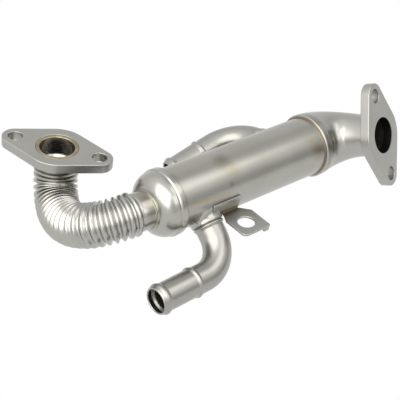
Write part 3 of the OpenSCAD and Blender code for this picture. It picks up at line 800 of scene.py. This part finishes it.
def bracket():
    sharp = math.radians(35)
    bm = bmesh.new()
    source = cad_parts["bracket"].data
    bm.from_mesh(source)
    bmesh.ops.remove_doubles(bm, verts=bm.verts, dist=2e-6)
    bmesh.ops.dissolve_limit(bm, angle_limit=math.radians(0.5), verts=bm.verts, edges=bm.edges)
    mesh = bpy.data.meshes.new("bracket_sheet")
    bm.to_mesh(mesh)
    bm.free()
    mesh.shade_smooth()
    mesh.set_sharp_from_angle(angle=sharp)
    obj = bpy.data.objects.new("bracket_sheet", mesh)
    bpy.context.scene.collection.objects.link(obj)
    edge = obj.modifiers.new("edges", "BEVEL")
    edge.width, edge.segments = BRACKET_EDGE * MM, 3
    edge.limit_method, edge.angle_limit = "ANGLE", sharp
    edge.harden_normals = True
    edge.use_clamp_overlap = False
    s = Surface("bracket_satin", PLATE, 0.31, (2, 10, 10), 0.07)
    leg = s.spot(on_shell_point(LEG_X + LEG_LEN / 2, 190), 14)
    s.tint(s.times(leg, s.blotch(90, 0.3, 0.65)), BROWN, 0.5)
    fold = s.times(s.band(2, -AXIS_DROP - TAB_DROP + 0.8, 4.0),
                   s.band(1, -AXIS_FRONT - SHELL_R - 0.4, 4.0))
    s.tint(fold, BROWN, 0.8)
    mesh.materials.clear()
    mesh.materials.append(s.done())
    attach(obj, "root")
    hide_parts("bracket")


bracket()

# The bundle inside the shell keeps its solids

bundle_surface = Surface("bundle_satin", (0.34, 0.33, 0.3), 0.4, (1, 14, 14), 0.06)
bundle_surface.tint(bundle_surface.blotch(60, 0.35, 0.65), BROWN, 0.5)
bundle_mat = bundle_surface.done()
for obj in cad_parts.values():
    if not obj.hide_render:
        obj.data.materials.clear()
        obj.data.materials.append(bundle_mat)

# Floor, light and camera


def plain_white(tree, shader, output):
    """Plain white where the camera, a reflection or a transmitted ray sees it.

    So it looks white and casts no more light on the part.
    """
    path_node = node(tree, "ShaderNodeLightPath")
    plain = node(tree, "ShaderNodeEmission", Strength=1.0)
    choose = node(tree, "ShaderNodeMixShader")
    seen = path_node.outputs["Is Camera Ray"]
    for ray in ("Is Glossy Ray", "Is Transmission Ray"):
        seen = math_node(tree, "MAXIMUM", seen, path_node.outputs[ray])
    tree.links.new(seen, choose.inputs[0])
    tree.links.new(shader, choose.inputs[1])
    tree.links.new(plain.outputs[0], choose.inputs[2])
    tree.links.new(choose.outputs[0], output.inputs["Surface"])


low, high = (np.array(corner) for corner in cad_box)
floor_mesh = bpy.data.meshes.new("floor")
floor_half = FLOOR_HALF * MM
floor_corners = [(x * floor_half, y * floor_half, 0)
                 for x, y in ((-1, -1), (1, -1), (1, 1), (-1, 1))]
floor_mesh.from_pydata(floor_corners, [], [(0, 1, 2, 3)])
floor = bpy.data.objects.new("floor", floor_mesh)
middle = (low + high) / 2
floor.location = (float(middle[0]), float(middle[1]), float(low[2]) - FLOOR_GAP * MM)
bpy.context.scene.collection.objects.link(floor)
floor_mat = bpy.data.materials.new("floor_pale")
floor_mat.use_nodes = True
tree = floor_mat.node_tree
floor_bsdf = tree.nodes["Principled BSDF"]
floor_bsdf.inputs["Roughness"].default_value = 0.9
floor_bsdf.inputs["Specular IOR Level"].default_value = 0.0
floor_bsdf.inputs["Base Color"].default_value = (0.8, 0.8, 0.792, 1)
plain_white(tree, floor_bsdf.outputs[0], tree.nodes["Material Output"])
floor_mesh.materials.append(floor_mat)

world = bpy.data.worlds.new("studio")
bpy.context.scene.world = world
world.use_nodes = True
tree = world.node_tree
background = tree.nodes["Background"]
sky_way = node(tree, "ShaderNodeTexCoord").outputs["Generated"]


def patch(azimuth, height, outer, inner, level):
    """A soft round patch of sky. Its direction is in degrees, from +Y towards +X, and upwards."""
    a, h = math.radians(azimuth), math.radians(height)
    n = node(tree, "ShaderNodeVectorMath", operation="DOT_PRODUCT")
    tree.links.new(sky_way, n.inputs[0])
    n.inputs[1].default_value = (math.sin(a) * math.cos(h), math.cos(a) * math.cos(h), math.sin(h))
    edge, core = (math.cos(math.radians(spread)) for spread in (outer, inner))
    return map_range(tree, n.outputs["Value"], edge, core, 0.0, level)


# A plain sky with a soft glow round the large light and darker patches between the lights
SKY_LEVEL = 0.88
level = math_node(tree, "ADD", patch(-95, 50, 75, 30, 0.35), SKY_LEVEL)
for values in ((150, 55, 45, 15, 0.2), (85, 55, 35, 8, -0.22), (138, 8, 26, 9, -0.42),
               (110, 0, 24, 8, -0.25), (-165, 4, 28, 5, -0.16)):
    level = math_node(tree, "ADD", level, patch(*values))
background.inputs["Color"].default_value = (1.0, 0.998, 0.985, 1)
tree.links.new(level, background.inputs["Strength"])


def softbox(name, place, aim, width, height, radiance):
    """A rectangular light, placed in metres, that looks as bright as its radiance in a mirror."""
    light = bpy.data.lights.new(name, "AREA")
    light.shape, light.size, light.size_y = "RECTANGLE", width, height
    light.energy = radiance * math.pi * width * height
    light.color = (1.0, 0.985, 0.95)
    obj = bpy.data.objects.new(name, light)
    obj.location = place
    obj.rotation_euler = (Vector(aim) - Vector(place)).to_track_quat("-Z", "Y").to_euler()
    bpy.context.scene.collection.objects.link(obj)


softbox("left_light", (-0.42, -0.2, 0.42), (0.02, -0.07, 0.0), 0.85, 0.8, 1.9)
softbox("right_light", (0.28, -0.24, 0.43), (0.08, -0.07, 0.0), 0.28, 0.28, 1.35)
softbox("front_light", (0.12, -0.5, 0.33), (0.08, -0.07, 0.0), 0.26, 0.26, 1.4)

# The camera fitted to the photograph, placed in millimetres
camera = bpy.data.cameras.new("camera")
CAMERA_PLACE = (-340.21, -461.68, 389.28)
camera.sensor_width, camera.lens = 36.0, 98.84
camera.clip_start, camera.clip_end = 0.01, 50.0
camera_obj = bpy.data.objects.new("camera", camera)
right = (0.7554, -0.6428, 0.1271)
down = (-0.3072, -0.5188, -0.7978)
ahead = (0.5787, 0.5636, -0.5894)
facing = Matrix([[right[i], -down[i], -ahead[i]] for i in range(3)]).to_4x4()
camera_obj.matrix_world = Matrix.Translation(Vector(CAMERA_PLACE) * MM) @ facing
bpy.context.scene.collection.objects.link(camera_obj)
bpy.context.scene.camera = camera_obj
bpy.context.scene.view_settings.view_transform = "Standard"
